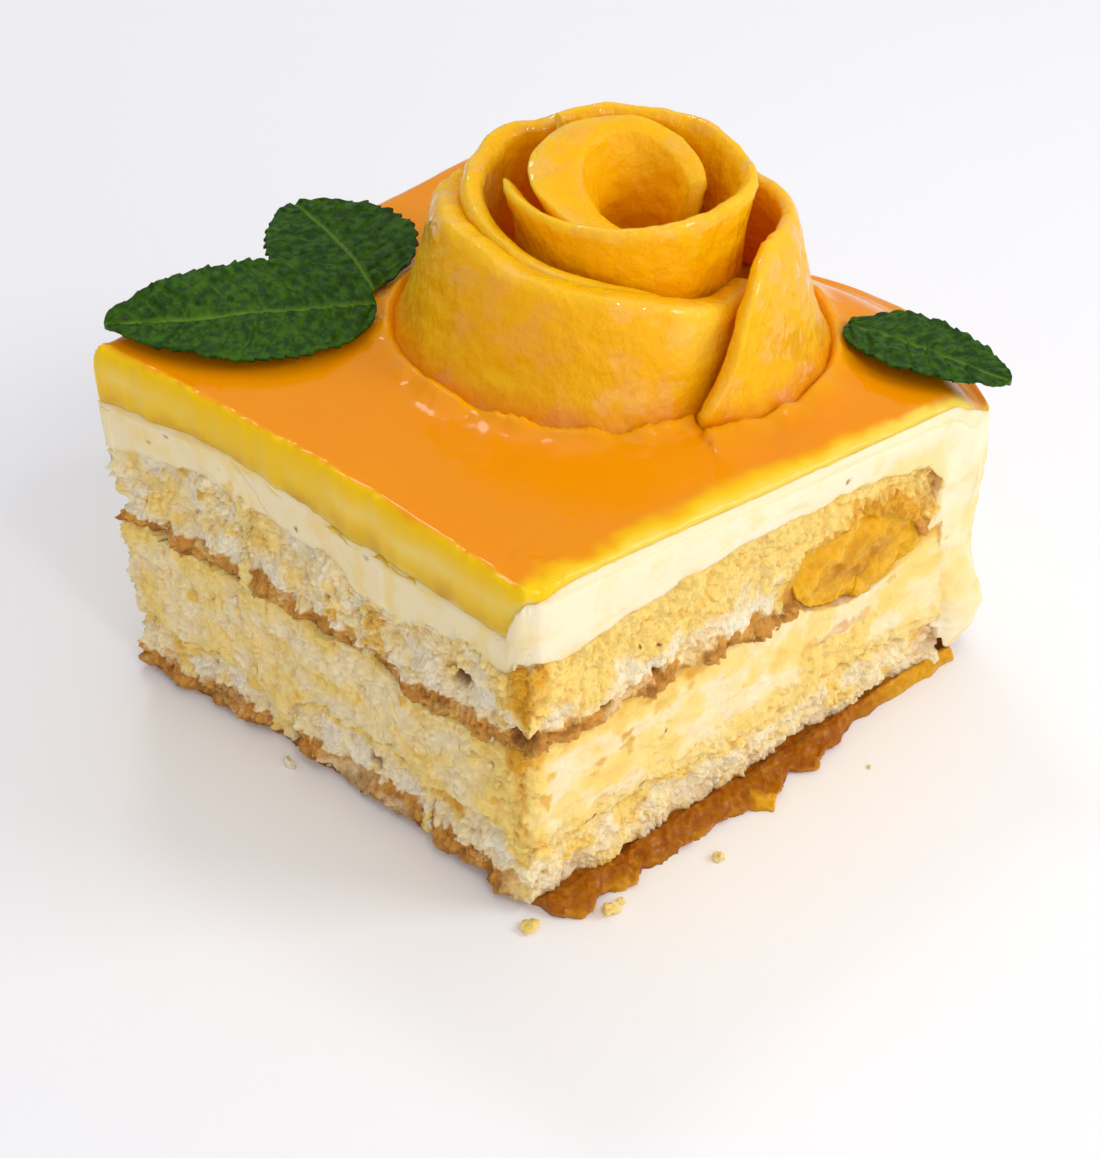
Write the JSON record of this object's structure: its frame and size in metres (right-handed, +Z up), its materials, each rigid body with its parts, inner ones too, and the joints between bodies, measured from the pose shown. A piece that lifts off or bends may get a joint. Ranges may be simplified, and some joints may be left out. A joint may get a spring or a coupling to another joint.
{
  "type": "mango tiramisu slice",
  "caption": "Square slice of layered sponge-finger and cream cake with a mango glaze, a rolled rose of mango slices and mint leaves on top.",
  "frame": {"origin": "on the flat underside, below the middle of the slice", "axes": "+Z up; +X along the front cut face towards the rounded outer side; +Y from the front cut face towards the back cut face"},
  "size_m": [0.1038, 0.0963, 0.0759],
  "materials": {
    "sponge": "porous pale crumb with a browned crust, stands in for soaked sponge finger",
    "cream": "smooth pale yellow, stands in for mascarpone cream",
    "puree": "wet amber, stands in for mango puree",
    "glaze": "wet orange, stands in for mango glaze",
    "mango_flesh": "moist golden yellow, stands in for ripe mango slices",
    "herb_leaf": "dark green with raised veins, stands in for fresh mint"
  },
  "bodies": {
    "root": {"mango_puree_base": "puree", "ladyfinger_bottom_front": "sponge", "ladyfinger_bottom_middle": "sponge", "ladyfinger_bottom_back": "sponge", "cream_middle": "cream", "mango_puree_pocket": "puree", "ladyfinger_top_front": "sponge", "ladyfinger_top_middle": "sponge", "ladyfinger_top_back": "sponge", "cream_top": "cream", "mango_glaze": "glaze", "rose_petal_inner": "mango_flesh", "rose_petal_wrapped": "mango_flesh", "rose_petal_left": "mango_flesh", "rose_petal_front": "mango_flesh", "rose_petal_right": "mango_flesh", "mint_leaf_left": "herb_leaf", "mint_leaf_back": "herb_leaf", "mint_leaf_right": "herb_leaf"}
  },
  "joints": []
}
